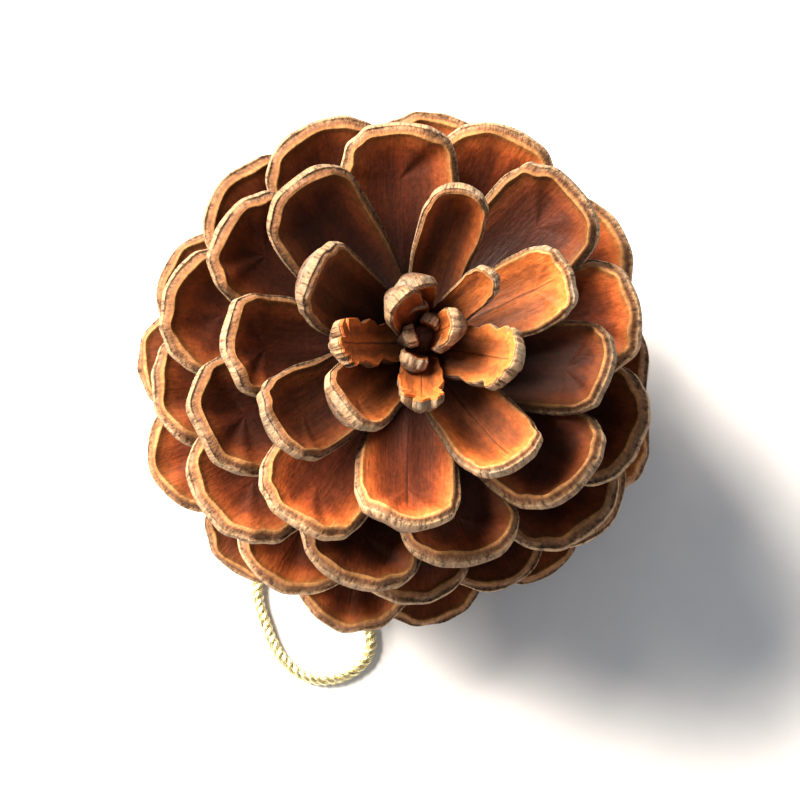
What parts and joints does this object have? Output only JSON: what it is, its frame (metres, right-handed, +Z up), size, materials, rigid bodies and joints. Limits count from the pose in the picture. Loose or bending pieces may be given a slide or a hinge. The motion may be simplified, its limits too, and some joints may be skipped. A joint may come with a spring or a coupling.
{
  "type": "open pine cone with a hanging loop",
  "caption": "Open pine cone with spirally set woody scales, standing on its base, with a thin gold cord loop fixed beside its stalk.",
  "frame": {"origin": "middle of the cone's bounding box in plan, at the height of the surface it rests on", "axes": "+Z up from the surface; the cone's own axis leans 6.5 degrees from +Z towards +X and -Y; the cord loop lies towards -Y"},
  "size_m": [0.0483, 0.0496, 0.0492],
  "materials": {
    "scale_wood": "dry open cone scales, red-brown inside, with a paler rim and grey-tan ends",
    "gold_cord": "thin twisted cord of metallic gold yarn"
  },
  "bodies": {
    "root": {"cone": "scale_wood", "cord_loop": "gold_cord"}
  },
  "joints": []
}
